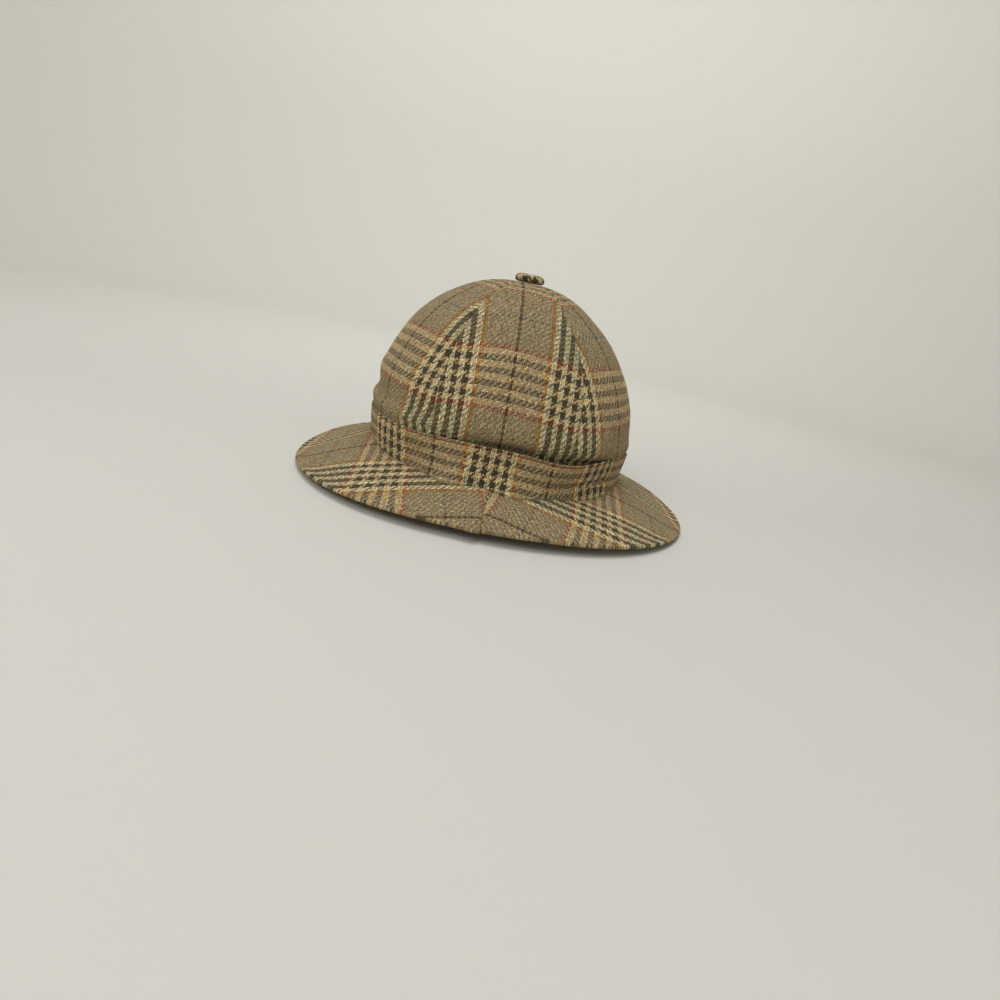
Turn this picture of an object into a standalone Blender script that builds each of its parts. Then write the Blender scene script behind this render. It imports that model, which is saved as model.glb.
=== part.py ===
"""Tweed deerstalker hat: a crown of six panels, a cloth band, a brim in two halves, a top button.

Units are metres, +Z up. +Y points to the back of the head and +X to the wearer's left.
The hat stands on the flattened rim of its brim, so z = 0 is the surface that it rests on.
"""
import math

import bpy
import numpy as np

MM = 0.001                 # every size below is in millimetres

# Cloth walls and the clearances between the sewn pieces.
CROWN_CLOTH = 2.0
BAND_CLOTH = 2.4           # the band is folded double
BRIM_CLOTH = 3.0           # two layers with a stiff layer between them
CLEARANCE = 0.3            # between a piece and the one that it lies on
BAND_EDGE_ROOM = 0.5       # how far above the band's top the crown starts to bulge
SEAM_GAP = 0.6             # between the edges of two pieces sewn side by side

# The head opening. Its edge rises to the front and to the back and dips at the corners.
OPENING_HEIGHT = 22.8
OPENING_TO_FRONT = 2.3
OPENING_TO_ENDS = 1.3
OPENING_TO_CORNERS = 2.1

# The band's outer face. Half sizes are measured from the line of the brim's side seams.
#   height above the opening, half width, half length to the front, half length to the back
BAND_LEVELS = (
    (0.0, 90.4, 98.8, 107.2),
    (9.0, 90.6, 101.0, 107.8),
    (18.0, 90.4, 102.6, 108.0),
    (26.8, 89.6, 103.6, 107.8),
)
BAND_SQUARENESS = 2.04     # exponent of the oval: 2 is an ellipse, more is squarer

# The crown's outer face above the band, which it bulges over before it domes.
#   height above the opening, half width, half length to the front, half length to the back
CROWN_LEVELS = (
    (32.0, 89.4, 103.6, 107.6),
    (38.0, 89.4, 103.6, 107.0),
    (47.0, 87.6, 102.0, 104.6),
    (57.0, 85.2, 99.2, 101.2),
    (67.0, 82.2, 95.8, 97.2),
    (77.0, 78.2, 91.8, 92.4),
    (87.0, 73.4, 87.0, 86.6),
    (96.0, 68.4, 81.6, 80.2),
    (104.7, 62.6, 75.2, 72.8),
    (112.5, 56.6, 67.8, 64.4),
    (119.2, 49.8, 59.8, 55.4),
    (125.0, 42.6, 51.0, 47.0),
    (129.2, 36.2, 43.4, 40.0),
    (133.0, 28.6, 34.2, 31.4),
    (135.6, 21.0, 25.4, 23.0),
    (137.4, 12.4, 14.8, 13.6),
    (138.1, 3.2, 3.2, 3.2),
)
CROWN_LEAN = 2.5           # how far the crown's centre moves back from the opening to the top

# The crown's six seams, in degrees from the left side: negative to the front, positive to the back.
# The two side panels are the widest, and their middles lie a little behind the side seams' line.
FRONT_SIDE_SEAM = -29.5
BACK_SIDE_SEAM = 34.5
CENTRE_BACK = 90.0

# The brim, outside the band's foot. Widths are level sizes from the band to the rim.
#   where, width
BRIM_WIDTHS = (
    ("front", 55.6),
    ("front corner", 56.4),
    ("side", 48.6),
    ("back corner", 55.2),
    ("back", 61.0),
)
RIM_FLAT = 5.0             # width of the rim that lies level
RIM_LIFT = 7.2             # how far the rim lifts from the peaks that it rests on to the sides
PEAK_REST = 10.0           # degrees to each side of a peak's middle where the rim lies flat
RIM_RISE = 70.0            # degrees over which it then lifts
BRIM_RINGS = 7

# The covered button at the crown's centre.
BUTTON_RADIUS = 11.2
BUTTON_HEIGHT = 6.6
BUTTON_SKIRT = 2.0         # height of the button's widest line above its foot
BUTTON_FOOT_RADIUS = 10.4
BUTTON_SHANK_RADIUS = 2.2
BUTTON_SHANK_LENGTH = 4.0
BUTTON_ARC_STEPS = 5
BUTTON_SIDES = 20

# Half way between the two peaks, measured from the line of the side seams: the model's y = 0.
MIDDLE = (BAND_LEVELS[0][3] + BRIM_WIDTHS[4][1] - BAND_LEVELS[0][2] - BRIM_WIDTHS[0][1]) / 2.0

AROUND = 60                # steps round the whole hat
SMALL_TURN = 0.001         # radians either way to find which way an edge runs

TWEED = (0.30, 0.24, 0.13)
TWEED_DARK = (0.20, 0.17, 0.11)
TWEED_LIGHT = (0.42, 0.35, 0.21)


def clear_scene():
    """Remove what is in the scene, with the collections that held it."""
    for thing in list(bpy.data.objects):
        bpy.data.objects.remove(thing)
    for group in list(bpy.data.collections):
        bpy.data.collections.remove(group)


def cloth(name, colour):
    """A woven wool cloth: dull, with no sheen of its own."""
    material = bpy.data.materials.new(name)
    material.use_nodes = True
    shader = material.node_tree.nodes["Principled BSDF"]
    shader.inputs["Base Color"].default_value = (*colour, 1.0)
    shader.inputs["Roughness"].default_value = 0.95
    shader.inputs["Metallic"].default_value = 0.0
    return material


def oval(angle, half_width, half_front, half_back, squareness):
    """Points of a squarish oval whose front and back halves have their own half lengths."""
    across = np.cos(angle)
    along = np.sin(angle)
    reach = (np.abs(across) ** squareness + np.abs(along) ** squareness) ** (-1.0 / squareness)
    half_length = np.where(along < 0.0, half_front, half_back)
    return half_width * across * reach, half_length * along * reach


def opening_edge(angle):
    """Height of the head opening's edge above the resting surface."""
    rise = OPENING_HEIGHT - OPENING_TO_FRONT * np.sin(angle)
    return rise - OPENING_TO_ENDS * np.cos(2.0 * angle) + OPENING_TO_CORNERS * np.cos(4.0 * angle)


def edge_wave(angle):
    """How far the opening's edge lies above or below its own mean height."""
    return opening_edge(angle) - OPENING_HEIGHT


def crown_levels():
    """Levels of the crown's outer face: inside the band at first, then as its own table says."""
    band = np.array(BAND_LEVELS)
    inside = band.copy()
    inside[:, 1:] -= BAND_CLOTH + CLEARANCE
    clear_of_band = inside[-1] + np.array([CLEARANCE + BAND_EDGE_ROOM, 0.0, 0.0, 0.0])
    return np.vstack([inside[:-1], clear_of_band, CROWN_LEVELS])


def wall_points(levels, angles, lift):
    """Outer face of a standing wall: one row a level, one column an angle.

    The wave of the opening's edge fades out towards the crown's top, and so does the squareness,
    while the middle leans back.
    """
    top = CROWN_LEVELS[-1][0]
    height, half_width, half_front, half_back = (levels[:, k, None] for k in range(4))
    fade = 1.0 - height / top
    squareness = 2.0 + (BAND_SQUARENESS - 2.0) * fade
    x, y = oval(angles[None, :], half_width, half_front, half_back, squareness)
    y = y + CROWN_LEAN * height / top
    z = OPENING_HEIGHT + lift + height + edge_wave(angles[None, :]) * fade
    return np.stack([x, y, z], axis=-1)


def pull_from_seam(points, gap):
    """Move a panel's two side edges in from its seams by half the gap, along the panel's width."""
    moved = points.copy()
    for edge, inner in ((0, 1), (-1, -2)):
        way = points[:, inner] - points[:, edge]
        way /= np.linalg.norm(way, axis=1, keepdims=True)
        moved[:, edge] += way * gap / 2.0
    return moved


def sheet(name, points, material, thickness, closed, group):
    """A cloth piece: an open surface through a grid of points, given its thickness inwards.

    Rows run upwards or inwards and columns run towards the back, so the faces look outwards.
    """
    rows, columns = points.shape[:2]
    index = np.arange(rows * columns).reshape(rows, columns)
    if closed:
        index = np.column_stack([index, index[:, 0]])
    low_left, low_right = index[:-1, :-1], index[:-1, 1:]
    up_left, up_right = index[1:, :-1], index[1:, 1:]
    faces = np.stack([low_left, low_right, up_right, up_left], axis=-1).reshape(-1, 4)
    mesh = bpy.data.meshes.new(name)
    middle = np.array([0.0, MIDDLE, 0.0])
    mesh.from_pydata(((points - middle).reshape(-1, 3) * MM).tolist(), [], faces.tolist())
    mesh.materials.append(material)
    mesh.shade_smooth()
    piece = bpy.data.objects.new(name, mesh)
    group.objects.link(piece)
    wall = piece.modifiers.new("cloth thickness", "SOLIDIFY")
    wall.thickness = thickness * MM
    wall.offset = -1.0
    wall.use_even_offset = True


def crown_panels(material, group):
    """Six tapering panels, two at the front, two at the back and one at each side."""
    levels = crown_levels()
    spans = {
        "left": (FRONT_SIDE_SEAM, BACK_SIDE_SEAM),
        "back_left": (BACK_SIDE_SEAM, CENTRE_BACK),
        "back_right": (CENTRE_BACK, 180.0 - BACK_SIDE_SEAM),
        "right": (180.0 - BACK_SIDE_SEAM, 180.0 - FRONT_SIDE_SEAM),
        "front_right": (180.0 - FRONT_SIDE_SEAM, CENTRE_BACK + 180.0),
        "front_left": (CENTRE_BACK + 180.0, 360.0 + FRONT_SIDE_SEAM),
    }
    for side, (start, end) in spans.items():
        steps = round((end - start) / 360.0 * AROUND)
        angles = np.radians(np.linspace(start, end, steps + 1))
        points = wall_points(levels, angles, CLEARANCE)
        sheet(f"crown_panel_{side}", pull_from_seam(points, SEAM_GAP), material, CROWN_CLOTH,
              False, group)


def hat_band(material, group):
    """The folded strip of cloth that stands round the crown's foot."""
    angles = np.linspace(0.0, 2.0 * math.pi, AROUND, endpoint=False)
    points = wall_points(np.array(BAND_LEVELS), angles, CLEARANCE)
    sheet("hat_band", points, material, BAND_CLOTH, True, group)


def brim_width(angle):
    """Width of the brim at an angle: a wave through the five widths of the table."""
    front, front_corner, side, back_corner, back = (row[1] for row in BRIM_WIDTHS)
    corner = (front_corner + back_corner) / 2.0
    ends = (front + back) / 2.0
    mean = (ends + side + 2.0 * corner) / 4.0
    to_sides = (side - ends) / 2.0
    to_axes = (ends + side - 2.0 * corner) / 4.0
    root = math.sqrt(0.5)
    end_lean = (back - front) / 2.0
    corner_lean = (back_corner - front_corner) / (4.0 * root)
    once = corner_lean + end_lean / 2.0
    thrice = corner_lean - end_lean / 2.0
    width = mean + once * np.sin(angle) + thrice * np.sin(3.0 * angle)
    return width + to_sides * np.cos(2.0 * angle) + to_axes * np.cos(4.0 * angle)


def rim_height(angle):
    """Height of the rim's top face: flat at the two peaks, lifted towards the sides."""
    from_peak = np.degrees(np.arccos(np.minimum(np.abs(np.sin(angle)), 1.0)))
    rise = np.clip((from_peak - PEAK_REST) / RIM_RISE, 0.0, 1.0)
    return BRIM_CLOTH + RIM_LIFT * np.sin(rise * math.pi / 2.0)


def brim_half(name, start, material, group):
    """Half of the brim, from inside the head opening out and down to the rim."""
    angles = np.linspace(start, start + math.pi, AROUND // 2 + 1)
    foot = BAND_LEVELS[0][1:]
    x, y = oval(angles, *foot, BAND_SQUARENESS)
    ahead = np.stack(oval(angles + SMALL_TURN, *foot, BAND_SQUARENESS), axis=-1)
    behind = np.stack(oval(angles - SMALL_TURN, *foot, BAND_SQUARENESS), axis=-1)
    along = ahead - behind
    outward = np.stack([along[:, 1], -along[:, 0]], axis=-1)
    outward /= np.linalg.norm(outward, axis=1, keepdims=True)
    tuck = BAND_CLOTH + CROWN_CLOTH + CLEARANCE
    width = brim_width(angles)
    high = opening_edge(angles)
    low = rim_height(angles)
    slope = width - RIM_FLAT
    rings = [(width, low)]
    for ring in range(BRIM_RINGS + 1):
        share = 1.0 - ring / BRIM_RINGS
        rings.append((slope * share, high + (low - high) * share))
    rings.append((np.full_like(width, -tuck), high))
    points = []
    for reach, height in rings:
        points.append(np.column_stack([x + outward[:, 0] * reach, y + outward[:, 1] * reach, height]))
    sheet(name, pull_from_seam(np.array(points), SEAM_GAP), material, BRIM_CLOTH, False, group)


def top_button(material, group):
    """A cloth-covered button: a turned dome on a short shank through the crown's centre."""
    foot = OPENING_HEIGHT + CLEARANCE + CROWN_LEVELS[-1][0] + CLEARANCE
    dome = BUTTON_HEIGHT - BUTTON_SKIRT
    profile = []
    for step in range(BUTTON_ARC_STEPS + 1):
        turn = step / BUTTON_ARC_STEPS * math.pi / 2.0
        height = foot + BUTTON_SKIRT + dome * math.cos(turn)
        profile.append((BUTTON_RADIUS * math.sin(turn), height))
    profile.append((BUTTON_FOOT_RADIUS, foot))
    profile.append((BUTTON_SHANK_RADIUS, foot))
    profile.append((BUTTON_SHANK_RADIUS, foot - BUTTON_SHANK_LENGTH))
    profile.append((0.0, foot - BUTTON_SHANK_LENGTH))
    mesh = bpy.data.meshes.new("top_button")
    edges = [(k, k + 1) for k in range(len(profile) - 1)]
    mesh.from_pydata([(radius * MM, 0.0, height * MM) for radius, height in profile], edges, [])
    mesh.materials.append(material)
    button = bpy.data.objects.new("top_button", mesh)
    button.location.y = (CROWN_LEAN - MIDDLE) * MM
    group.objects.link(button)
    turned = button.modifiers.new("turned", "SCREW")
    turned.steps = BUTTON_SIDES
    turned.render_steps = BUTTON_SIDES
    turned.use_merge_vertices = True
    turned.merge_threshold = 0.01 * MM


def build_hat():
    """All the pieces of the hat, in a collection of their own."""
    clear_scene()
    group = bpy.data.collections.new("deerstalker_hat")
    bpy.context.scene.collection.children.link(group)
    brim_tweed = cloth("brim_tweed", TWEED)
    crown_panels(cloth("crown_tweed", TWEED), group)
    hat_band(cloth("band_tweed", TWEED_DARK), group)
    brim_half("brim_front", -math.pi, brim_tweed, group)
    brim_half("brim_back", 0.0, brim_tweed, group)
    top_button(cloth("button_tweed", TWEED_LIGHT), group)


build_hat()
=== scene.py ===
"""A tweed deerstalker hat, dressed piece by piece in the order in which it is sewn together."""

import math

import bpy
import numpy as np
from mathutils import Matrix, Vector


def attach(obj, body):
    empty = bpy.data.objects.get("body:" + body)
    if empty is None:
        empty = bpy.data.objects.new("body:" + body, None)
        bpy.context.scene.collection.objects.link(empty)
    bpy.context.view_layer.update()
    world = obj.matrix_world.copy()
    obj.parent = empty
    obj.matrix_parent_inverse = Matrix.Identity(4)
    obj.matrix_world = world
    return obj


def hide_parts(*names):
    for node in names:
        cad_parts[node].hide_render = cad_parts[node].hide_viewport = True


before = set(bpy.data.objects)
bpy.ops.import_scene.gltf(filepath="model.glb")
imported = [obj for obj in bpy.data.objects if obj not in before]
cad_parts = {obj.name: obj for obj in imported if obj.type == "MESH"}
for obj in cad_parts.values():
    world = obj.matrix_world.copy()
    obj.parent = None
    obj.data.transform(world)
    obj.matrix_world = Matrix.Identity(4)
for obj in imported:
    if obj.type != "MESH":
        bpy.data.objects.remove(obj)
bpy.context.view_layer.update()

# ---------------------------------------------------------------------------------------------
# The camera stands at the hat's left side, a little above it, and leans by some degrees, as the
# photograph does. It was fitted to the hat's outlines. Sizes are in millimetres and degrees.
MM = 0.001
CAMERA_DISTANCE = 582.2
CAMERA_HEIGHT_ANGLE = 18.77
CAMERA_TURN = -3.07
CAMERA_ROLL = 12.01
CAMERA_TARGET = (-61.8, 11.7, -36.4)
CAMERA_LENS = 21.6

height_angle, turn, roll = np.radians([CAMERA_HEIGHT_ANGLE, CAMERA_TURN, CAMERA_ROLL])
towards_camera = Vector((math.cos(height_angle) * math.cos(turn),
                         math.cos(height_angle) * math.sin(turn), math.sin(height_angle)))
level_right = (-towards_camera).cross(Vector((0.0, 0.0, 1.0))).normalized()
level_up = level_right.cross(-towards_camera)
picture_right = level_right * math.cos(roll) + level_up * math.sin(roll)
picture_up = level_up * math.cos(roll) - level_right * math.sin(roll)
camera = bpy.data.objects.new("camera", bpy.data.cameras.new("camera"))
bpy.context.scene.collection.objects.link(camera)
camera.data.lens = CAMERA_LENS
camera.data.clip_start = 0.01
camera.data.clip_end = 30.0
axes = Matrix((picture_right, picture_up, towards_camera)).transposed().to_4x4()
place = (Vector(CAMERA_TARGET) + towards_camera * CAMERA_DISTANCE) * MM
camera.matrix_world = Matrix.Translation(place) @ axes
bpy.context.scene.camera = camera

# ---------------------------------------------------------------------------------------------
# Crown panels: six tapering pieces of wool tweed, cut with the cloth's lengthwise threads up
# their middles and sewn edge to edge. Each seam pulls the cloth in and leaves a low ridge on
# both sides, where the turned edges lie under it.
CROWN_CLOTH = 1.9
BAND_CLOTH = 2.4                   # of the band, which the crown's foot stands inside
BAND_EDGE_ROOM = 0.8               # how far above the band's top the crown starts to bulge
CLEARANCE = 0.3                    # between a piece and the one that it lies on
OPENING_HEIGHT = 22.8
OPENING_TO_FRONT = 2.3             # by which the head opening's edge rises to the front,
OPENING_TO_ENDS = 1.3              # at its two ends,
OPENING_TO_CORNERS = 2.1           # and at ends and sides against the corners between them
#   height above the opening, half width, half length to the front, half length to the back
BAND_LEVELS = np.array([
    (0.0, 89.6, 98.8, 105.2), (9.0, 90.2, 101.0, 106.6),
    (18.0, 90.2, 102.4, 107.2), (26.8, 89.6, 103.2, 107.0)])
CROWN_LEVELS = np.array([
    (32.0, 89.4, 103.2, 106.6), (38.0, 89.4, 101.9, 105.8), (47.0, 87.6, 100.2, 104.0),
    (57.0, 85.2, 98.8, 101.4), (67.0, 82.2, 96.1, 97.4), (77.0, 78.2, 92.0, 92.6),
    (87.0, 73.4, 87.0, 86.6), (96.0, 68.4, 81.6, 80.2), (104.7, 62.6, 75.2, 72.8),
    (112.5, 56.6, 67.8, 64.4), (119.2, 49.8, 59.8, 55.4), (125.0, 42.6, 51.0, 47.0),
    (129.2, 36.2, 43.4, 40.0), (133.0, 28.6, 34.2, 31.4), (135.6, 21.0, 25.4, 23.0),
    (137.4, 12.4, 14.8, 13.6), (138.1, 3.2, 3.2, 3.2)])
CROWN_TOP = 138.1
CROWN_LEAN = 2.5                   # by which the crown's middle moves back from foot to top
SQUARENESS = 2.04                  # exponent of its oval: 2 is an ellipse, and more is squarer
MIDDLE = 6.9                       # from the line of the brim's side seams to the model's y = 0
#   seams in degrees from the left side, then threads by which the cloth lies off the panel's
#   middle, by which it drifts over 10 mm upwards, and by which it tilts over 10 mm along
PANELS = {
    "left": (-29.5, 35.0, 3.4, 0.18, 0.20), "back_left": (35.0, 90.0, 6.0, 0.0, 0.0),
    "back_right": (90.0, 145.0, 2.0, 0.0, 0.0), "right": (145.0, 209.5, -1.5, -0.1, -0.1),
    "front_right": (209.5, 270.0, 2.5, 0.0, 0.0), "front_left": (270.0, 330.5, -1.5, 0.0, 0.0)}
PANEL_ROWS = 120
PANEL_COLUMNS = 64
SMALL_TURN = 0.01                  # radians either way to find which way a level line runs
SEAM_DEPTH = 0.8
SEAM_WIDTH = 1.2
SEAM_TURNING = 0.5                 # what shows of the cloth turned in under its neighbour
TURNING_SLOPE = 1.6                # and how steeply it goes in
RIDGE_HEIGHT = 0.35
RIDGE_FROM_SEAM = 4.5
RIDGE_WIDTH = 2.0
NARROW_PANEL = 25.0                # a panel narrower than this has less of a seam

# The cloth: a 2/2 twill of thick woollen yarn with a large check.
WARP_PITCH = 1.02                  # millimetres from one lengthwise thread to the next
WEFT_PITCH = 1.10                  # and from one crosswise thread to the next
WARP_SHARE = 2.4                   # of four crosswise threads, how many a lengthwise one hides
BLOCK_MIDDLE = 20.0                # threads from the repeat's start to its block's middle
WARP_DARK_LINE = 63.0              # to its thin dark line
WEFT_RED_LINE = 0.9                # to the middle of its first red line
SECOND_RED_LINE = 39.5             # and of its second
LOWER_RED_HEIGHT = 53.2            # height of the first on the crown, above the opening
CROWN_SHRINK = 1.024               # steam draws the crown's cloth together by so much upwards
#   threads by which the cloth is eased down, millimetres above the red line, spread
CROWN_EASE = ((2.0, 45.0, 20.0), (3.5, 100.0, 22.0))


def smooth_curve(rows, count):
    """Read a table at evenly spaced places along the natural cubic spline through its rows.

    Places are measured by the chords between rows. The spline's second derivatives solve the
    usual three-diagonal system, with none at the two ends.
    """
    steps = np.linalg.norm(np.diff(rows[:, :2], axis=0), axis=1)
    places = np.concatenate([[0.0], np.cumsum(steps)])
    system = np.eye(len(rows))
    inner = np.arange(1, len(rows) - 1)
    system[inner, inner - 1] = steps[:-1]
    system[inner, inner] = 2.0 * (steps[:-1] + steps[1:])
    system[inner, inner + 1] = steps[1:]
    turns = np.zeros_like(rows)
    turns[1:-1] = 6.0 * np.diff(np.diff(rows, axis=0) / steps[:, None], axis=0)
    bends = np.linalg.solve(system, turns)
    read = np.linspace(0.0, places[-1], count)
    k = np.clip(np.searchsorted(places, read, side="right") - 1, 0, len(rows) - 2)
    step = steps[k][:, None]
    left = (places[k + 1] - read)[:, None]
    past = (read - places[k])[:, None]
    curved = (bends[k] * left ** 3 + bends[k + 1] * past ** 3) / (6.0 * step)
    straight = (rows[k] / step - bends[k] * step / 6.0) * left
    return curved + straight + (rows[k + 1] / step - bends[k + 1] * step / 6.0) * past


def bell(place, middle, spread):
    """Bump of height 1: e to the power of minus the square of (place - middle) / spread."""
    return np.exp(-((place - middle) / spread) ** 2)


def oval(angle, half_width, half_front, half_back, squareness):
    """Squarish oval: a ray at each angle ends where |cos|^n + |sin|^n is 1, then is stretched."""
    across, along = np.cos(angle), np.sin(angle)
    reach = (np.abs(across) ** squareness + np.abs(along) ** squareness) ** (-1.0 / squareness)
    half_length = np.where(along < 0.0, half_front, half_back)
    return half_width * across * reach, half_length * along * reach


def opening_edge(angle):
    """Height of the head opening's edge: a sine and two cosines of the angle round it.

    It is highest at the front, up at the back and at both sides, and down at the four corners.
    """
    rise = OPENING_HEIGHT - OPENING_TO_FRONT * np.sin(angle)
    rise = rise - OPENING_TO_ENDS * np.cos(2.0 * angle)
    return rise + OPENING_TO_CORNERS * np.cos(4.0 * angle)


def wall(levels, angles):
    """Standing wall: an oval for each level, on the wave of the opening's edge.

    The wave fades out from the foot to the crown's top, and so does the oval's squareness.
    """
    height, half_width, half_front, half_back = (levels[:, k, None] for k in range(4))
    fade = 1.0 - height / CROWN_TOP
    x, y = oval(angles, half_width, half_front, half_back, 2.0 + (SQUARENESS - 2.0) * fade)
    y = y + CROWN_LEAN * height / CROWN_TOP - MIDDLE
    edge = opening_edge(angles) - OPENING_HEIGHT
    return np.stack([x, y, OPENING_HEIGHT + CLEARANCE + height + edge * fade], axis=-1)


def run_lengths(points, axis):
    """Length along each line of a grid from its first point: the running sum of its chords."""
    chords = np.linalg.norm(np.diff(points, axis=axis), axis=-1)
    zero = np.zeros_like(np.take(chords, [0], axis=axis))
    return np.concatenate([zero, np.cumsum(chords, axis=axis)], axis=axis)


def push_out(points, across, distance):
    """Move points along their normals: the cross product of a direction across and the rows'."""
    normals = np.cross(across, np.gradient(points, axis=0))
    normals /= np.maximum(np.linalg.norm(normals, axis=-1, keepdims=True), 1e-9)
    return points + normals * distance[..., None]


def lay_flat(along, up, turn):
    """Place on the flat cut cloth of a place on a dome.

    A level line of a dome is an arc on the flat piece, of the given turn per millimetre. A place
    at a length along it lies at sin(turn x length) / turn, and higher by what the cosine lacks.
    """
    return np.sin(turn * along) / turn, up + (1.0 - np.cos(turn * along)) / turn


def cloth_mesh(name, points, cloth, round_rows=False, round_columns=False, ends=False, caps=False):
    """Quads over a grid of points in millimetres, with each corner's place on the flat cloth.

    Rows run upwards or inwards and columns towards +angle, so faces look outwards. A round
    direction closes on itself, ends closes the first and last column of a tube of rows, and caps
    closes the first and last row of a turned piece.
    """
    rows, columns = points.shape[:2]
    index = np.arange(rows * columns).reshape(rows, columns)
    if round_rows:
        index = np.vstack([index, index[:1]])
    if round_columns:
        index = np.column_stack([index, index[:, 0]])
    corner = np.arange(index.size).reshape(index.shape)

    def quads(grid):
        low, high = grid[:-1], grid[1:]
        around = [low[:, :-1], low[:, 1:], high[:, 1:], high[:, :-1]]
        return np.stack(around, axis=-1).reshape(-1, 4)

    faces, corners = quads(index), quads(corner)
    if ends:
        half = rows // 2
        i = np.arange(half - 1)
        for column, order in ((0, (0, 1, 2, 3)), (-1, (3, 2, 1, 0))):
            pair = np.stack([i, i + 1, rows - 2 - i, rows - 1 - i], axis=-1)[:, order]
            faces = np.vstack([faces, index[:, column][pair]])
            corners = np.vstack([corners, corner[:, column][pair]])
    faces, corners = faces.tolist(), corners.ravel()
    if caps:
        faces = faces + [index[0, :columns][::-1].tolist(), index[-1, :columns].tolist()]
        corners = np.concatenate([corners, corner[0, :columns][::-1], corner[-1, :columns]])
    mesh = bpy.data.meshes.new(name)
    mesh.from_pydata((points.reshape(-1, 3) * MM).tolist(), [], faces)
    layer = mesh.uv_layers.new(name="cloth")
    layer.data.foreach_set("uv", cloth.reshape(-1, 2)[corners].ravel())
    mesh.shade_smooth()
    piece = bpy.data.objects.new(name, mesh)
    bpy.context.scene.collection.objects.link(piece)
    return piece


def colour(code):
    """Linear colour from an sRGB hex code, by the standard curve."""
    parts = np.array([int(code[k:k + 2], 16) for k in (1, 3, 5)]) / 255.0
    linear = np.where(parts <= 0.04045, parts / 12.92, ((parts + 0.055) / 1.055) ** 2.4)
    return (*linear.tolist(), 1.0)


def add(tree, kind, links=(), **settings):
    """Add a node: settings are its properties, and links its inputs by place or by name.

    A value that is an output is linked, and any other is set on the socket itself.
    """
    node = tree.nodes.new(kind)
    for name, value in settings.items():
        setattr(node, name, value)
    for socket, value in (links.items() if isinstance(links, dict) else enumerate(links)):
        if isinstance(value, bpy.types.NodeSocket):
            tree.links.new(value, node.inputs[socket])
        elif value is not None:
            node.inputs[socket].default_value = value
    return node


def stripes(tree, place, repeat):
    """Colours of the threads of one repeat, chosen by a place from 0 to 1: (threads, hex)."""
    ramp = add(tree, "ShaderNodeValToRGB", [place])
    ramp.color_ramp.interpolation = "CONSTANT"
    total = sum(threads for threads, code in repeat)
    start = 0
    for number, (threads, code) in enumerate(repeat):
        if number < 2:
            stop = ramp.color_ramp.elements[number]
            stop.position = start / total
        else:
            stop = ramp.color_ramp.elements.new(start / total)
        stop.color = colour(code)
        start += threads
    return ramp.outputs["Color"]


FLOAT = 4.0                        # threads from one float's start to the next one's
FLOAT_STARTS = (1.0, -2.0)         # thread on which a lengthwise and a crosswise float start
WEFT_FLOAT = 2.0                   # threads over which a crosswise float is round
THREAD_ROUND = 0.75                # how far a thread falls away to its sides,
FLOAT_ROUND = 0.55                 # and where it dips under the others
#   waves per millimetre, and millimetres by which they move the threads
THREAD_DRIFTS = ((0.16, 0.9), (0.55, 0.55))
LOOSE_FIBRES = 0.9                 # waves per millimetre of the fibres over the crossings,
MIXED_WOOL = 0.45                  # of the flecks of other colours,
FINE_FIBRES = 0.8                  # and of the light and dark along the yarn
#   each a factor and what is added to it
FUZZ = (1.8, -0.9)                 # how far loose fibres blur a crossing
CROSSING = (0.7, 0.18)             # how clearly the upper thread hides the lower one
FLOAT_DYE = (0.56, 0.72)           # lightness of a float, from random 0 to 1
FIBRE_LIGHT = (2.9, -0.38)         # lightness along the yarn
PAINTED_GAP_SHADE = (0.85, 0.52)         # painted shade: darker in the gaps between threads, lighter on their tops
FIBRE_RELIEF = 0.35
TWEED_DEPTH = 0.5                  # millimetres from the gaps to the tops of the threads
GROUND_WARP = "#A2967F"
GROUND_WEFT = "#857A64"
WARP_STRIPES = [(2, "#A67B44")] + [(4, "#D0CAB0"), (4, "#424132")] * 4 + [
    (4, "#D0CAB0"), (3, "#A67B44"), (21, GROUND_WARP), (2, "#4C3F2E"), (21, GROUND_WARP),
    (1, "#A67B44")]
WEFT_STRIPES = [(2, "#963F36")] + [(4, "#D0B692"), (4, "#4A403A")] * 4 + [
    (4, "#D0B692"), (3, "#963F36"), (22, GROUND_WEFT), (2, "#464C52"), (22, GROUND_WEFT),
    (1, "#963F36")]
WOOL_TINTS = ((0.34, "#EFD8B4"), (0.66, "#F1F7E8"))


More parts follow.
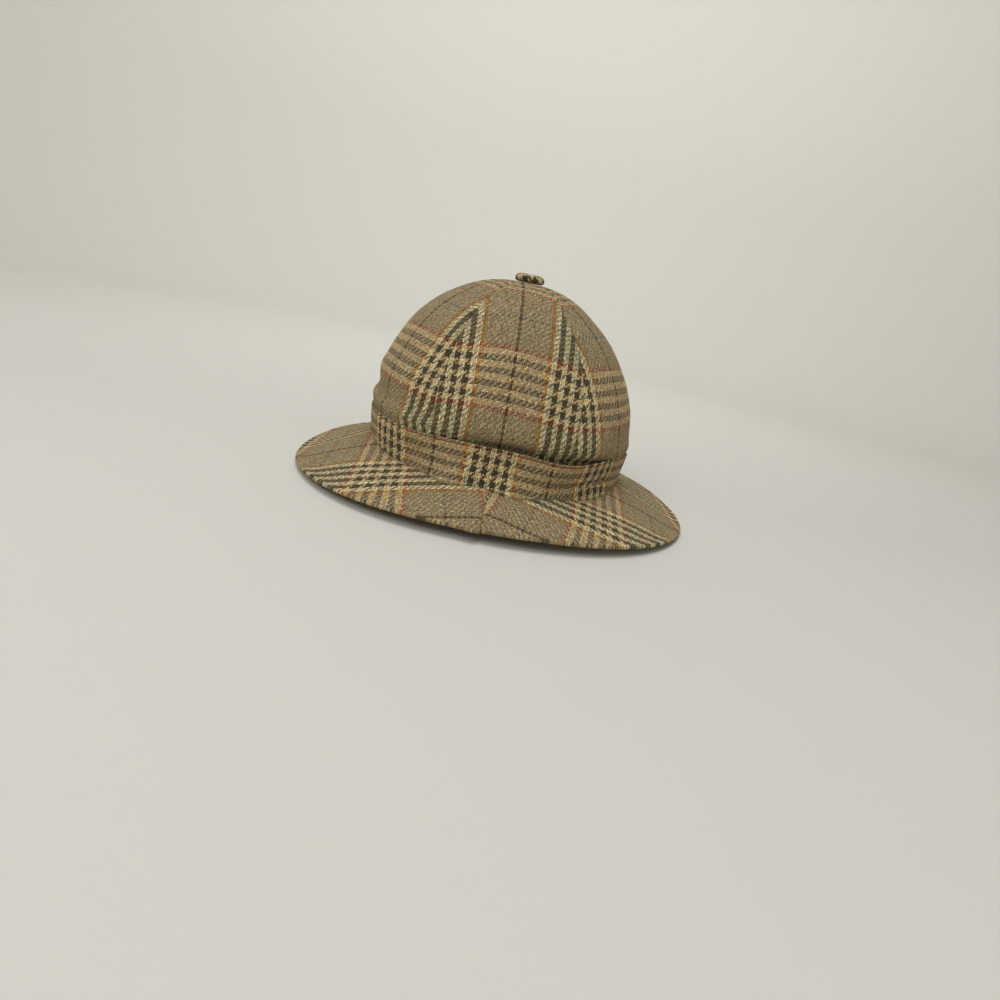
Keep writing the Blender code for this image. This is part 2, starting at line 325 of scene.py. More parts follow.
def tweed(name):
    """Woollen tweed: soft carded yarn, dyed and mixed in the wool, woven as a 2/2 twill.

    It is dull and slightly fuzzy. Each thread passes over two and under two, one step further
    in each row, which draws fine diagonal ribs. Four light and four dark threads in turn, both
    ways, make the broken checks. Three coloured threads on each side frame them, and two dark
    ones run through the middle of the plain ground. The lengthwise threads stand closer, so they
    hide somewhat more than half of the others.
    """
    material = bpy.data.materials.new(name)
    material.use_nodes = True
    tree = material.node_tree
    shader = tree.nodes["Principled BSDF"]
    flat = add(tree, "ShaderNodeUVMap", uv_map="cloth").outputs["UV"]
    # Hand and loom leave the threads uneven: a slow drift, and a quick one as the yarn swells.
    for scale, reach in THREAD_DRIFTS:
        drift = add(tree, "ShaderNodeTexNoise", {"Vector": flat, "Scale": scale, "Detail": 2.0})
        drift = add(tree, "ShaderNodeVectorMath", [drift.outputs["Color"], (0.5, 0.5, 0.5)],
                    operation="SUBTRACT")
        flat = add(tree, "ShaderNodeVectorMath", [drift.outputs[0], (reach, reach, 0.0), flat],
                   operation="MULTIPLY_ADD").outputs[0]
    parts = add(tree, "ShaderNodeSeparateXYZ", [flat])
    warp_at = add(tree, "ShaderNodeMath", [parts.outputs["X"], WARP_PITCH],
                  operation="DIVIDE").outputs[0]
    weft_at = add(tree, "ShaderNodeMath", [parts.outputs["Y"], WEFT_PITCH],
                  operation="DIVIDE").outputs[0]
    warp_no = add(tree, "ShaderNodeMath", [warp_at], operation="FLOOR").outputs[0]
    weft_no = add(tree, "ShaderNodeMath", [weft_at], operation="FLOOR").outputs[0]
    # Each float starts one thread further in each row. Its place runs from 0 to 4 threads, and
    # the lengthwise thread is on top over the first WARP_SHARE of them. Seen across and along a
    # float, the thread's height is 1 less a square times how round it is.
    runs, floats = [], []
    for place, number, first in ((weft_at, warp_no, FLOAT_STARTS[0]),
                                 (warp_at, weft_no, FLOAT_STARTS[1])):
        run = add(tree, "ShaderNodeMath", [place, number], operation="SUBTRACT").outputs[0]
        run = add(tree, "ShaderNodeMath", [run, first], operation="ADD").outputs[0]
        turn = add(tree, "ShaderNodeMath", [run, FLOAT], operation="DIVIDE").outputs[0]
        floats.append(add(tree, "ShaderNodeMath", [turn], operation="FLOOR").outputs[0])
        runs.append(add(tree, "ShaderNodeMath", [run, FLOAT], operation="FLOORED_MODULO").outputs[0])
    warp_up = add(tree, "ShaderNodeMath", [runs[0], WARP_SHARE], operation="LESS_THAN").outputs[0]
    sides = []
    for place, run, length in ((warp_at, runs[0], WARP_SHARE), (weft_at, runs[1], WEFT_FLOAT)):
        side = add(tree, "ShaderNodeMath", [place], operation="FRACT").outputs[0]
        side = add(tree, "ShaderNodeMath", [side, 2.0, -1.0], operation="MULTIPLY_ADD").outputs[0]
        side = add(tree, "ShaderNodeMath", [side, side], operation="MULTIPLY").outputs[0]
        end = add(tree, "ShaderNodeMath", [run, 2.0 / length, -1.0],
                  operation="MULTIPLY_ADD").outputs[0]
        end = add(tree, "ShaderNodeMath", [end, end], operation="MULTIPLY").outputs[0]
        end = add(tree, "ShaderNodeMath", [end, -FLOAT_ROUND, 1.0],
                  operation="MULTIPLY_ADD").outputs[0]
        side = add(tree, "ShaderNodeMath", [side, -THREAD_ROUND, 1.0],
                   operation="MULTIPLY_ADD").outputs[0]
        sides.append(add(tree, "ShaderNodeMath", [side, end], operation="MULTIPLY",
                         use_clamp=True).outputs[0])
    relief = add(tree, "ShaderNodeMix", {0: warp_up, 2: sides[1], 3: sides[0]}).outputs[0]
    colours = []
    for number, float_no, repeat in ((warp_no, floats[0], WARP_STRIPES),
                                     (weft_no, floats[1], WEFT_STRIPES)):
        total = float(sum(threads for threads, code in repeat))
        place = add(tree, "ShaderNodeMath", [number, 0.5], operation="ADD").outputs[0]
        place = add(tree, "ShaderNodeMath", [place, total], operation="FLOORED_MODULO").outputs[0]
        place = add(tree, "ShaderNodeMath", [place, total], operation="DIVIDE").outputs[0]
        # Carded yarn is thick and thin, so each float is a little lighter or darker.
        dye = add(tree, "ShaderNodeCombineXYZ", [number, float_no, total])
        dye = add(tree, "ShaderNodeTexWhiteNoise", {"Vector": dye.outputs[0]})
        dye = add(tree, "ShaderNodeMath", [dye.outputs["Value"], *FLOAT_DYE],
                  operation="MULTIPLY_ADD").outputs[0]
        yarn = stripes(tree, place, repeat)
        colours.append(add(tree, "ShaderNodeVectorMath", {0: yarn, 3: dye},
                           operation="SCALE").outputs[0])
    # Loose fibres of each yarn lie over its neighbours, so the crossings are not clean.
    fuzz = add(tree, "ShaderNodeTexNoise", {"Vector": flat, "Scale": LOOSE_FIBRES, "Detail": 2.0})
    fuzz = add(tree, "ShaderNodeMath", [fuzz.outputs["Fac"], *FUZZ], operation="MULTIPLY_ADD")
    top = add(tree, "ShaderNodeMath", [warp_up, *CROSSING], operation="MULTIPLY_ADD").outputs[0]
    top = add(tree, "ShaderNodeMath", [top, fuzz.outputs[0]], operation="ADD", use_clamp=True)
    yarn = add(tree, "ShaderNodeMix", {0: top.outputs[0], 6: colours[1], 7: colours[0]},
               data_type="RGBA").outputs[2]
    # Wool mixed before spinning: flecks of rust, moss and straw a thread or two long.
    fleck = add(tree, "ShaderNodeTexNoise", {"Vector": flat, "Scale": MIXED_WOOL, "Detail": 3.0})
    tint = add(tree, "ShaderNodeValToRGB", [fleck.outputs["Fac"]])
    for stop, (place, code) in zip(tint.color_ramp.elements, WOOL_TINTS):
        stop.position = place
        stop.color = colour(code)
    yarn = add(tree, "ShaderNodeMix", {0: 1.0, 6: yarn, 7: tint.outputs["Color"]},
               data_type="RGBA", blend_type="MULTIPLY").outputs[2]
    fibre = add(tree, "ShaderNodeTexNoise", {"Vector": flat, "Scale": FINE_FIBRES, "Detail": 2.0})
    light = add(tree, "ShaderNodeMath", [fibre.outputs["Fac"], *FIBRE_LIGHT],
                operation="MULTIPLY_ADD").outputs[0]
    # Painted shade: the colour is darkened in the gaps between the threads and kept light on their
    # tops, by the threads' relief.
    painted_gap_shade = add(tree, "ShaderNodeMath", [relief, *PAINTED_GAP_SHADE], operation="MULTIPLY_ADD").outputs[0]
    light = add(tree, "ShaderNodeMath", [light, painted_gap_shade], operation="MULTIPLY").outputs[0]
    yarn = add(tree, "ShaderNodeVectorMath", {0: yarn, 3: light}, operation="SCALE").outputs[0]
    tree.links.new(yarn, shader.inputs["Base Color"])
    rough = add(tree, "ShaderNodeMath", [fibre.outputs["Fac"], FIBRE_RELIEF, relief],
                operation="MULTIPLY_ADD").outputs[0]
    bump = {"Height": rough, "Strength": 1.0, "Distance": TWEED_DEPTH * MM}
    bump = add(tree, "ShaderNodeBump", bump)
    tree.links.new(bump.outputs[0], shader.inputs["Normal"])
    shader.inputs["Roughness"].default_value = 0.93
    shader.inputs["Specular IOR Level"].default_value = 0.15
    shader.inputs["Sheen Weight"].default_value = 0.12
    shader.inputs["Sheen Roughness"].default_value = 0.6
    shader.inputs["Sheen Tint"].default_value = colour("#E8DFC8")
    return material


wool_tweed = tweed("wool_tweed_twill_check")

inside_band = BAND_LEVELS - np.array([0.0, 1.0, 1.0, 1.0]) * (BAND_CLOTH + CLEARANCE)
inside_band[-1, 0] += BAND_EDGE_ROOM
crown_levels = smooth_curve(np.vstack([inside_band, CROWN_LEVELS]), PANEL_ROWS)

FOOT_HEIGHT = 27.0                 # of the crown's line along the band's top
TUCK_FROM, TUCK_TO = -12.0, 52.0   # degrees from each side between which the foot tucks in
TUCK_EDGE = 5.0                    # degrees over which it starts and ends
TUCK_DEPTH = 3.4
TUCK_SPREAD = (40.0, 5.5)          # spread of the tuck below and above that line
PLEAT_SHARE = 0.25                 # share of the tuck that comes and goes round the crown,
PLEAT_MIDDLE = 2.0                 # from the deepest place at so many degrees
PLEAT_HALF = 24.0                  # to the shallowest one so much further
#   millimetres out, height of the middle, spread upwards
SIDE_BULGE = (1.8, 39.0, 9.0)
FOOT_REST = (2.4, 26.0, 5.0)
FRONT_FULL, FRONT_PRESSED = (1.3, 54.0, 7.0), (2.0, 39.0, 6.5)
BACK_FULL = (1.4, 50.0, 32.0)
#   degrees from the side, spread
FRONT_PART, BACK_PART = (-90.0, 40.0), (88.0, 25.0)
#   degrees by which a side seam turns at the foot, spread upwards
FRONT_SEAM_TURN, BACK_SEAM_TURN = (2.5, 18.0), (5.0, 35.0)
WAVES_FROM = 26.0                  # height from which the soft waves grow, over
WAVES_FADE = 12.0                  # so many millimetres, as they fade to the top


def soft_waves(angle, height):
    """Low uneven waves of soft cloth: sines round the hat times sines up it.

    They are 0.55, 0.35 and 0.18 mm high, with 3, 7 and 13 of them round the hat.
    """
    low = 0.55 * np.sin(3.0 * angle + 0.8) * np.sin(height / 31.0 + 0.4)
    middle = 0.35 * np.sin(7.0 * angle - 1.1) * np.sin(height / 19.0 + 1.3)
    return low + middle + 0.18 * np.sin(13.0 * angle + height / 11.0)


def foot_folds(angle, height):
    """How far the crown's foot stands out over the band, or tucks in behind it.

    Each fold is its millimetres times a bell of the height. At each side, between two soft
    steps of the form 1 / (1 + e^x), the foot tucks in, and it bulges above. The tuck comes and
    goes by a cosine, and fades slowly below its line. Elsewhere the foot rests on the band.
    Above, the front is pressed in and then fuller, and the back is fuller.
    """
    from_side = np.degrees(np.arcsin(np.sin(angle)))
    side = 1.0 / (1.0 + np.exp((TUCK_FROM - from_side) / TUCK_EDGE))
    side = side / (1.0 + np.exp((from_side - TUCK_TO) / TUCK_EDGE))

    def fold(out, middle, spread):
        return out * bell(height, middle, spread)

    tuck = fold(TUCK_DEPTH, FOOT_HEIGHT, np.where(height < FOOT_HEIGHT, *TUCK_SPREAD))
    pleats = np.cos((from_side - PLEAT_MIDDLE) * math.pi / PLEAT_HALF)
    tuck = (tuck - fold(*SIDE_BULGE)) * (1.0 - PLEAT_SHARE + PLEAT_SHARE * pleats)
    front = (fold(*FRONT_FULL) - fold(*FRONT_PRESSED)) * bell(from_side, *FRONT_PART)
    back = fold(*BACK_FULL) * bell(from_side, *BACK_PART)
    return (1.0 - side) * fold(*FOOT_REST) + front + back - side * tuck


def seam_line(angle, height):
    """Angle of a crown seam in degrees: low down, the side seams turn towards the sides.

    Each turns by its degrees times a bell of the height. The two seams on the middle line stay
    on it.
    """
    side = math.radians(angle)
    if abs(math.cos(side)) < 0.01:
        return np.full_like(height, angle)
    most, spread = FRONT_SEAM_TURN if math.sin(side) < 0.0 else BACK_SEAM_TURN
    turned = most * bell(height, FOOT_HEIGHT, spread)
    return angle - math.copysign(1.0, math.sin(2.0 * side)) * turned


height = crown_levels[:, :1]
radius = crown_levels[:, 1:].mean(axis=1)

for side, (start, end, aside, drift, tilt) in PANELS.items():
    # Columns run from seam to seam, closer together near them, and bend to follow both.
    share = np.linspace(-1.0, 1.0, PANEL_COLUMNS + 1)
    share = 0.5 * share + 0.5 * np.sin(share * math.pi / 2.0)
    turned_in = np.degrees(SEAM_TURNING / radius)[:, None]
    first, last = seam_line(start, height) - turned_in, seam_line(end, height) + turned_in
    centre = (start + end) / 2.0
    angles = np.radians(centre + (last - first) / 2.0 * share
                        + ((first + last) / 2.0 - centre) * share ** 2)
    panel = wall(crown_levels, angles)
    across = wall(crown_levels, angles + SMALL_TURN) - wall(crown_levels, angles - SMALL_TURN)
    from_start = run_lengths(panel, 1)
    width = from_start[:, -1:]
    from_seam = np.minimum(from_start, width - from_start) - SEAM_TURNING
    seam = bell(np.maximum(from_seam, 0.0), 0.0, SEAM_WIDTH) * SEAM_DEPTH
    seam = seam + np.maximum(-from_seam, 0.0) * TURNING_SLOPE
    ridge = bell(from_seam, RIDGE_FROM_SEAM, RIDGE_WIDTH) * RIDGE_HEIGHT
    relief = (ridge - seam) * np.clip(width / NARROW_PANEL, 0.0, 1.0)
    free = np.clip((height - WAVES_FROM) / WAVES_FADE, 0.0, 1.0)
    free = free * np.clip((CROWN_TOP - height) / WAVES_FADE, 0.0, 1.0)
    middle = PANEL_COLUMNS // 2
    up = run_lengths(panel, 0)[:, middle:middle + 1]
    up = up - np.interp(LOWER_RED_HEIGHT, height[:, 0], up[:, 0])
    turn = np.maximum(-np.gradient(radius) / np.gradient(up[:, 0]) / radius, 1e-4)[:, None]
    u, v = lay_flat(from_start - from_start[:, middle:middle + 1], up, turn)
    warp = WARP_DARK_LINE + aside + u / WARP_PITCH + drift * up / 10.0
    weft = WEFT_RED_LINE + v * CROWN_SHRINK / WEFT_PITCH + tilt * u / 10.0
    for threads, place, spread in CROWN_EASE:
        weft = weft - threads * bell(v, place, spread)
    flat = np.stack([warp * WARP_PITCH, weft * WEFT_PITCH], axis=-1)
    soft = soft_waves(angles, height) * free + foot_folds(angles, height)
    panel = push_out(panel, across, relief + soft)
    piece = cloth_mesh(f"crown_panel_{side}_tweed", panel, flat)
    piece.data.materials.append(wool_tweed)
    thickness = piece.modifiers.new("cloth thickness", "SOLIDIFY")
    thickness.thickness = CROWN_CLOTH * MM
    thickness.offset = -1.0
    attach(piece, "root")
    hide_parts(f"crown_panel_{side}")

# ---------------------------------------------------------------------------------------------
# Hat band: a strip of the same tweed folded double, with a red line of the check along its
# folded top edge. It is sewn to the crown near its top, so its lower edge is loose and rolls,
# and at the left side it stands away and lies on the brim.
BAND_HEIGHT = 26.8
BAND_FOLD = 1.1                    # radius of its folded top edge
BAND_ROLL = 1.5                    # and height of its rolled lower one
BAND_FACE_ROWS = 52
FOLD_ROWS = 7                      # of its fold, and of its roll
BAND_COLUMNS = 300
BAND_JOIN = 90.0                   # degrees: its ends are joined at the middle of the back
JOIN_DEPTH = 0.8                   # of the groove where they meet,
JOIN_COLUMNS = 0.8                 # and its spread in columns of the grid
FOOT_OUT = 0.7                     # how far its foot stands out all round,
FOOT_WAVE = 0.5                    # more and less by so much, five times round the hat
FOOT_CURVE = 2.4                   # exponent by which that fades upwards
STAND_RISE = 0.34                  # its top rises by this share of what it stands out
#   degrees from the side, how far its foot and its top stand out, spread to the front and back
BAND_FLARES = ((-15.0, 8.5, 1.6, 12.0, 10.0), (9.0, 9.6, 2.8, 9.0, 14.0),
               (30.0, 0.6, 2.4, 9.0, 14.0), (48.0, 2.0, 1.8, 12.0, 16.0),
               (82.0, 0.0, 2.2, 14.0, 30.0))
#   degrees from the side, how far its top edge rises there, spread
BAND_RISES = ((-90.0, -4.6, 38.0), (27.0, -2.0, 12.0), (54.0, 2.4, 12.0), (92.0, -3.4, 15.0))
#   degrees from the side, how far its face is drawn in, how much deeper a crease is there, spread
BAND_HOLLOWS = ((-33.0, 2.4, 0.6, 14.0), (45.0, 2.4, 2.2, 17.0))
HOLLOW_CURVE = 0.6                 # exponent that puts the deepest place below the middle
BAND_DRAWN = (1.6, 56.0, 18.0)     # how far its whole height is drawn in, degrees, spread
CREASE_HEIGHT = 10.0
CREASE_SPREAD = 2.6
BAND_PITCH = 1.04                  # its crosswise threads are pressed closer together
BAND_EASE = (2.6, 20.0, 20.0)      # lengthwise threads more, millimetres behind the side, spread
STITCH_FROM_TOP = 2.2              # the line of stitches that sews the band to the crown
STITCH_DEPTH = 0.8
STITCH_SPREAD = 0.6
STITCH_HIDES = 0.4                 # threads that it hides on each side of it, within
STITCH_REACH = 0.9                 # about so many millimetres
BRIM_CLOTH = 3.0
RIM_LIFT = 7.2                     # how far the rim lifts from the two peaks to the sides,
RIM_RISE_START = 10.0              # from so many degrees beside a peak,
RIM_RISE = 70.0                    # over so many degrees
EDGE_STEP = 0.001                  # radians either way to find which way the opening's edge runs
BRIM_FOOT = (90.4, 98.8, 107.2)    # half width, half length to the front and to the back
#   front, front corner, side, back corner, back
BRIM_WIDTHS = (55.6, 55.6, 48.2, 55.2, 58.4)
BRIM_BEND = 0.8                    # share of its width where its slope starts to ease


def brim_width(angle):
    """Width of the brim: a wave of up to four turns through the widths at the five places."""
    front, front_corner, side, back_corner, back = BRIM_WIDTHS
    corner = (front_corner + back_corner) / 2.0
    ends = (front + back) / 2.0
    corner_lean = (back_corner - front_corner) / (4.0 * math.sqrt(0.5))
    width = (ends + side + 2.0 * corner) / 4.0
    width = width + (corner_lean + (back - front) / 4.0) * np.sin(angle)
    width = width + (corner_lean - (back - front) / 4.0) * np.sin(3.0 * angle)
    width = width + (side - ends) / 2.0 * np.cos(2.0 * angle)
    return width + (ends + side - 2.0 * corner) / 4.0 * np.cos(4.0 * angle)


def rim_height(angle):
    """Height of the rim's top face: it lies flat at both peaks and lifts towards the sides."""
    from_peak = np.degrees(np.arccos(np.minimum(np.abs(np.sin(angle)), 1.0)))
    rise = np.clip((from_peak - RIM_RISE_START) / RIM_RISE, 0.0, 1.0)
    return BRIM_CLOTH + RIM_LIFT * np.sin(rise * math.pi / 2.0)


def outward(angle):
    """Level unit vector out of the opening's oval, square to its edge at each angle."""
    ahead = np.stack(oval(angle + EDGE_STEP, *BRIM_FOOT, SQUARENESS), axis=-1)
    behind = np.stack(oval(angle - EDGE_STEP, *BRIM_FOOT, SQUARENESS), axis=-1)
    edge = ahead - behind
    out = np.stack([edge[..., 1], -edge[..., 0]], axis=-1)
    return out / np.linalg.norm(out, axis=-1, keepdims=True)


def brim_top(angle, reach):
    """Height of the brim's top face at a level distance out from the band's foot.

    It falls in a straight line and then eases level over its last fifth: as a share of the
    fall, k s up to the bend, then 1 - (1 - s)^2 k / (2 (1 - bend)), with k = 2 / (1 + bend).
    """
    share = np.clip(reach / brim_width(angle), 0.0, 1.0)
    steep = 2.0 / (1.0 + BRIM_BEND)
    eased = 1.0 - (1.0 - share) ** 2 * steep / (2.0 * (1.0 - BRIM_BEND))
    fall = np.where(share < BRIM_BEND, steep * share, eased)
    return opening_edge(angle) + (rim_height(angle) - opening_edge(angle)) * fall


# The band's section is one loop: the face upwards, the fold, the back downwards and the roll.
from_join = np.linspace(0.0, 360.0, BAND_COLUMNS + 1)
angles = np.radians(BAND_JOIN + from_join)[:-1]
face = np.linspace(BAND_ROLL, BAND_HEIGHT - BAND_FOLD, BAND_FACE_ROWS)
arc = np.linspace(0.0, math.pi, FOLD_ROWS + 2)[1:-1]
out_line = np.concatenate([
    np.zeros(BAND_FACE_ROWS), BAND_FOLD * (np.cos(arc) - 1.0),
    np.full(BAND_FACE_ROWS, -2.0 * BAND_FOLD), BAND_FOLD * (-1.0 - np.cos(arc))])
up_line = np.concatenate([
    face, BAND_HEIGHT - BAND_FOLD + BAND_FOLD * np.sin(arc),
    face[::-1], BAND_ROLL - BAND_ROLL * np.sin(arc)])
rows = [np.interp(up_line, BAND_LEVELS[:, 0], BAND_LEVELS[:, k]) for k in range(1, 4)]
band = wall(np.stack([up_line, *rows], axis=-1), angles)
from_side = np.degrees(np.arcsin(np.sin(angles)))
high = (up_line / BAND_HEIGHT)[:, None]
low = 1.0 - high
for place, rise, spread in BAND_RISES:
    band[..., 2] += rise * bell(from_side, place, spread) * high
from_left = np.degrees(np.angle(np.exp(1j * angles)))
flare = FOOT_OUT + FOOT_WAVE * np.sin(5.0 * angles + 2.0)
stand = np.zeros_like(flare)
for place, foot_out, top_out, before, after in BAND_FLARES:
    bump = bell(from_left, place, np.where(from_left < place, before, after))
    flare = flare + foot_out * bump
    stand = stand + top_out * bump
out = outward(angles)
moved = stand[None, :] * high ** 2 + flare[None, :] * low ** FOOT_CURVE
band[..., :2] += out[None] * (out_line[:, None] + moved)[..., None]
band[..., 2] += STAND_RISE * stand[None, :] * high
drop = opening_edge(angles) - brim_top(angles, np.maximum(flare, 0.0))
band[..., 2] -= drop[None, :] * low ** FOOT_CURVE
depth, place, spread = BAND_DRAWN
drawn = depth * bell(from_side, place, spread)[None, :]
crease = bell(up_line, CREASE_HEIGHT, CREASE_SPREAD)[:, None]
for place, depth, deeper, spread in BAND_HOLLOWS:
    hollow = depth * np.sin(math.pi * high ** HOLLOW_CURVE) + deeper * crease
    drawn = drawn + bell(from_side, place, spread) * hollow
below_top = BAND_HEIGHT - up_line
stitched = STITCH_DEPTH * bell(below_top, STITCH_FROM_TOP, STITCH_SPREAD)[:, None]
band[..., :2] -= out[None] * (drawn + stitched)[..., None]
column = np.arange(BAND_COLUMNS)
join = bell(np.minimum(column, BAND_COLUMNS - column), 0.0, JOIN_COLUMNS)
band[..., :2] -= out[None] * join[None, :, None] * JOIN_DEPTH
around = run_lengths(np.concatenate([band, band[:, :1]], axis=1), 1)[BAND_FACE_ROWS // 2]
u = around - np.interp(360.0 - BAND_JOIN, from_join, around)
threads, place, spread = BAND_EASE
warp = BLOCK_MIDDLE + u / WARP_PITCH + threads * bell(u, place, spread)
loop = run_lengths(np.concatenate([band, band[:1]], axis=0), 0)
loop = np.concatenate([loop, loop[:, :1]], axis=1)
from_stitches = loop - loop[BAND_FACE_ROWS + FOLD_ROWS // 2] + STITCH_FROM_TOP
weft = SECOND_RED_LINE + from_stitches / BAND_PITCH
weft = weft + STITCH_HIDES * np.tanh(from_stitches / STITCH_REACH)
flat = np.stack(np.broadcast_arrays(warp[None, :] * WARP_PITCH, weft * WEFT_PITCH), axis=-1)
piece = cloth_mesh("hat_band_tweed", band, flat, round_rows=True, round_columns=True)
piece.data.materials.append(wool_tweed)
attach(piece, "root")
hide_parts("hat_band")

# ---------------------------------------------------------------------------------------------
# Brim: a front and a back half, each two layers of tweed over a stiff layer, sewn together at
# the sides. The rim is turned in, so it is round, and each half's corner at a side seam is
# round too, which leaves a small notch. The check runs from front to back in both halves.
BRIM_TUCK = 4.7                    # how far it reaches in under the band
BRIM_FACE_ROWS = 46
BRIM_COLUMNS = 190
RIM_ROUND = 1.3                    # how far in from the rim its faces start to turn
RIM_STEPS = 6
CORNER_ROUND = {"front": 3.6, "back": 2.8}
#   how far the front half's corners stand out at the side seams, millimetres from the seam, spread
FRONT_CORNER = (2.2, 4.0, 8.0)
VALLEY_DEPTH = (0.6, 0.9)          # of the side seams at the band, and how much more at the rim
VALLEY_WIDTH = 1.6
BRIM_WEFTS = 104.5                 # crosswise threads in 100 mm of it, measured level
#   lengthwise threads: at the middle, by y, by x^2, then crosswise ones: at the side seam, by
#   x^2, and by x^2 y, as brim_cloth has them
BRIM_CHECK = {"front": (1.15, -0.157, -0.075, -13.6, 10.1, -8.7),
              "back": (1.205, -0.194, -0.091, -23.3, 14.3, -8.7)}


def brim_cloth(x, y, half):
    """Place on the flat cloth of a level place on the brim, in threads each way.

    A slope shaped from flat cloth shifts the threads. Lengthwise ones stand at the distance x to
    the side times a + b y + c x^2, and crosswise ones at the distance y to the front or back
    plus x^2 times what f + g y gives, with x and y in units of 100 mm in those terms.
    """
    a, b, c, start, f, g = BRIM_CHECK[half]
    side, far = x / 100.0, np.abs(y) / 100.0
    warp = BLOCK_MIDDLE + x * (a + b * far + c * side ** 2)
    weft = SECOND_RED_LINE + start + BRIM_WEFTS * far + side ** 2 * (f + g * far)
    return np.stack([warp * WARP_PITCH, weft * WEFT_PITCH], axis=-1)


for half, start in (("front", -180.0), ("back", 0.0)):
    angles = np.radians(start + np.linspace(0.0, 180.0, BRIM_COLUMNS + 1))
    x, y = oval(angles, *BRIM_FOOT, SQUARENESS)
    out = outward(angles)
    width = brim_width(angles)
    from_seam = np.minimum(angles - angles[0], angles[-1] - angles) * (BRIM_FOOT[0] + BRIM_WIDTHS[2])
    if half == "front":
        stands_out, place, spread = FRONT_CORNER
        width = width + stands_out * bell(from_seam, place, spread)
    corner = CORNER_ROUND[half]
    short = np.clip(corner - from_seam, 0.0, corner)
    width = width - (corner - np.sqrt(corner ** 2 - short ** 2))
    arc = (np.arange(RIM_STEPS) + 0.5) / RIM_STEPS * math.pi / 2.0
    face = np.linspace(0.0, 1.0, BRIM_FACE_ROWS)[:, None]
    reach = np.concatenate([
        width[None, :] - RIM_ROUND * (1.0 - np.cos(arc))[:, None],
        (width - RIM_ROUND)[None, :] * (1.0 - face) - BRIM_TUCK * face])
    top = brim_top(angles[None, :], np.maximum(reach, 0.0))
    valley = VALLEY_DEPTH[0] + VALLEY_DEPTH[1] * np.clip(reach / width, 0.0, 1.0) ** 2
    top = top - valley * bell(from_seam, 0.0, VALLEY_WIDTH)[None, :]
    up = np.concatenate([np.sin(arc), np.ones(BRIM_FACE_ROWS)])[:, None]
    middle = top - BRIM_CLOTH / 2.0
    upper = middle + up * BRIM_CLOTH / 2.0
    lower = middle - up * BRIM_CLOTH / 2.0
    reach = np.concatenate([reach, reach[::-1]])
    height = np.concatenate([upper, lower[::-1]])
    level = np.stack([x, y], axis=-1)[None] + out[None] * reach[..., None]
    brim = np.concatenate([level - np.array([0.0, MIDDLE]), height[..., None]], axis=-1)
    flat = brim_cloth(level[..., 0], level[..., 1], half)
    flat = np.concatenate([flat, flat[:1]])
    piece = cloth_mesh(f"brim_{half}_tweed", brim, flat, round_rows=True, ends=True)
    piece.data.materials.append(wool_tweed)
    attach(piece, "root")
    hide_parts(f"brim_{half}")

# ---------------------------------------------------------------------------------------------
# Top button: a flat wooden mould covered with a round scrap of the tweed, gathered underneath,
# and sewn down by a shank where the six panels meet.
BUTTON_ROWS = 60
BUTTON_COLUMNS = 96
GATHERS = 17.0
GATHER_DEPTH = 0.22
GATHERS_START = (9.0, 5.0)         # millimetres from the top where they start, over so many,
GATHERS_END = (22.0, 4.0)          # and where they have ended
foot = OPENING_HEIGHT + CLEARANCE + CROWN_TOP + CLEARANCE
#   distance from the axis, height above the foot
BUTTON_LINE = np.array([
    (2.2, -4.0), (2.2, -1.0), (2.2, 0.35), (5.0, 0.2), (8.0, 0.0), (10.0, 0.2), (11.0, 1.2),
    (11.2, 2.6), (10.7, 4.1), (9.2, 5.3), (6.8, 5.9), (4.0, 6.1), (1.6, 6.15), (0.4, 6.15)])
line = smooth_curve(BUTTON_LINE, BUTTON_ROWS)
turns = np.linspace(0.0, 2.0 * math.pi, BUTTON_COLUMNS + 1)[:-1]
length = run_lengths(line, 0)
from_top = length[-1] - length
gather = GATHER_DEPTH * np.clip((from_top - GATHERS_START[0]) / GATHERS_START[1], 0.0, 1.0)
gather = gather * np.clip((GATHERS_END[0] - from_top) / GATHERS_END[1], 0.0, 1.0)
radius = line[:, :1] + gather[:, None] * np.sin(GATHERS * turns)[None, :]
button = np.stack([radius * np.cos(turns), radius * np.sin(turns) + CROWN_LEAN - MIDDLE,
                   np.broadcast_to(foot + line[:, 1:], radius.shape)], axis=-1)
closed = np.concatenate([turns, [2.0 * math.pi]])
flat = np.stack([BLOCK_MIDDLE * WARP_PITCH + from_top[:, None] * np.cos(closed),
                 BLOCK_MIDDLE * WEFT_PITCH + from_top[:, None] * np.sin(closed)], axis=-1)
piece = cloth_mesh("top_button_tweed", button, flat, round_columns=True, caps=True)
piece.data.materials.append(wool_tweed)
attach(piece, "root")
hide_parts("top_button")

# ---------------------------------------------------------------------------------------------
# Studio: a pale matt floor that curves up into a low wall all round, and soft boxes.
FLOOR_RINGS = [0.002, 0.4, 0.9]    # metres, as all of the studio
FLOOR_RADIUS = 1.3
BEND_RADIUS = 0.6
WALL_HEIGHT = 1.9
STUDIO_COLUMNS = 96


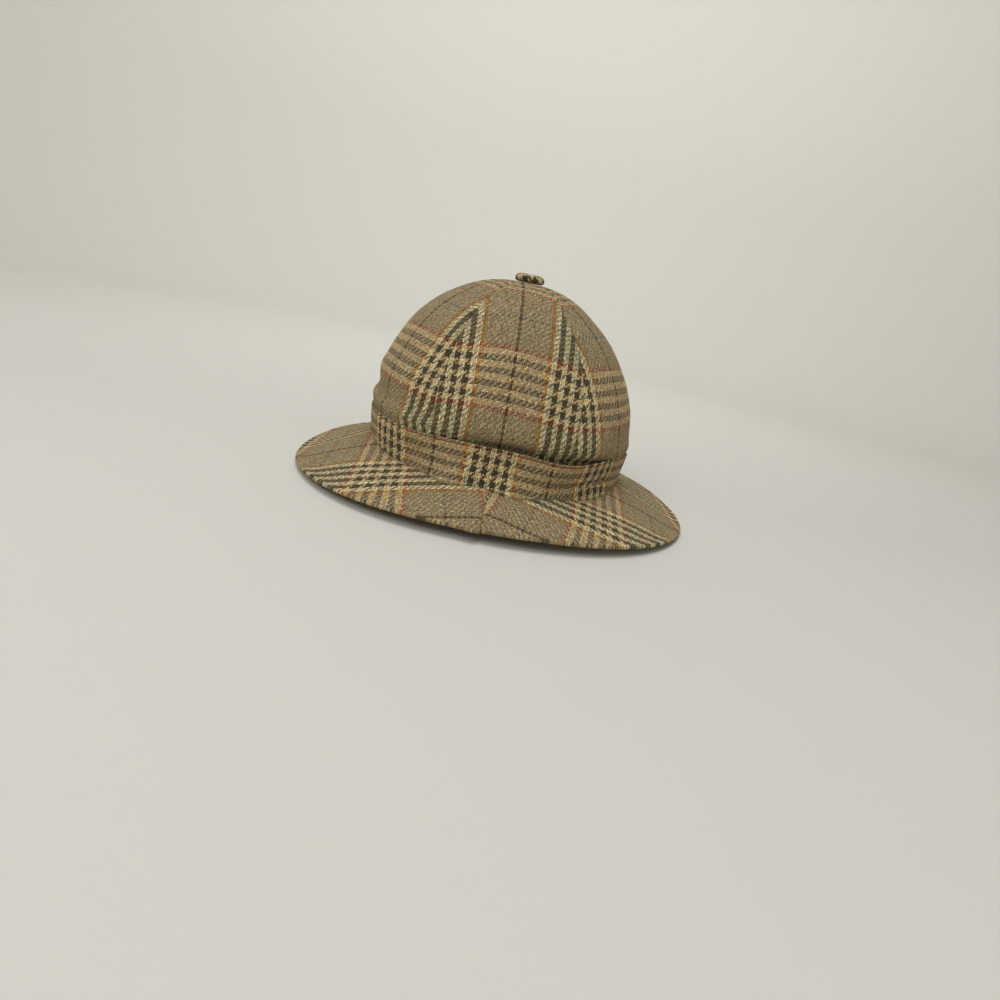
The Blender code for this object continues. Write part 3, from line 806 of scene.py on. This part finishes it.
def backdrop():
    """Turned profile: level floor, a quarter circle, then a straight wall, closed round."""
    bend = np.linspace(0.0, math.pi / 2.0, 16)
    radius = np.concatenate([FLOOR_RINGS, FLOOR_RADIUS + BEND_RADIUS * np.sin(bend),
                             [FLOOR_RADIUS + BEND_RADIUS]])
    height = np.concatenate([np.zeros(len(FLOOR_RINGS)), BEND_RADIUS * (1.0 - np.cos(bend)),
                             [WALL_HEIGHT]])
    around = np.linspace(0.0, 2.0 * math.pi, STUDIO_COLUMNS + 1)[:-1]
    points = np.stack([radius[:, None] * np.cos(around), radius[:, None] * np.sin(around),
                       np.broadcast_to(height[:, None], (len(radius), len(around)))], axis=-1)
    return points[::-1] / MM


points = backdrop()
flat = np.zeros((len(points), points.shape[1] + 1, 2))
floor = cloth_mesh("floor", points, flat, round_columns=True)
paint = bpy.data.materials.new("pale_matt_paint")
paint.use_nodes = True
paint.node_tree.nodes["Principled BSDF"].inputs["Base Color"].default_value = colour("#DAD8D0")
paint.node_tree.nodes["Principled BSDF"].inputs["Roughness"].default_value = 0.9
floor.data.materials.append(paint)

world = bpy.data.worlds.new("studio")
world.use_nodes = True
world.node_tree.nodes["Background"].inputs["Color"].default_value = colour("#F6F7F8")
world.node_tree.nodes["Background"].inputs["Strength"].default_value = 0.24
bpy.context.scene.world = world
#   name, place, size, watts, what it points at
for name, place, size, power, aim in (
        ("top", (0.1, -0.1, 1.7), 1.0, 12.8, (0.0, 0.0, 0.08)),
        ("key", (1.1, -0.65, 1.2), 0.8, 7.5, (0.0, 0.0, 0.08)),
        ("wall", (-0.5, 0.0, 1.5), 1.0, 12.0, (-1.9, 0.0, 1.1))):
    lamp = bpy.data.lights.new(name, "AREA")
    lamp.size = size
    lamp.energy = power
    box = bpy.data.objects.new(name, lamp)
    bpy.context.scene.collection.objects.link(box)
    box.location = place
    box.rotation_euler = (Vector(aim) - Vector(place)).to_track_quat("-Z", "Y").to_euler()
bpy.context.scene.view_settings.view_transform = "Standard"
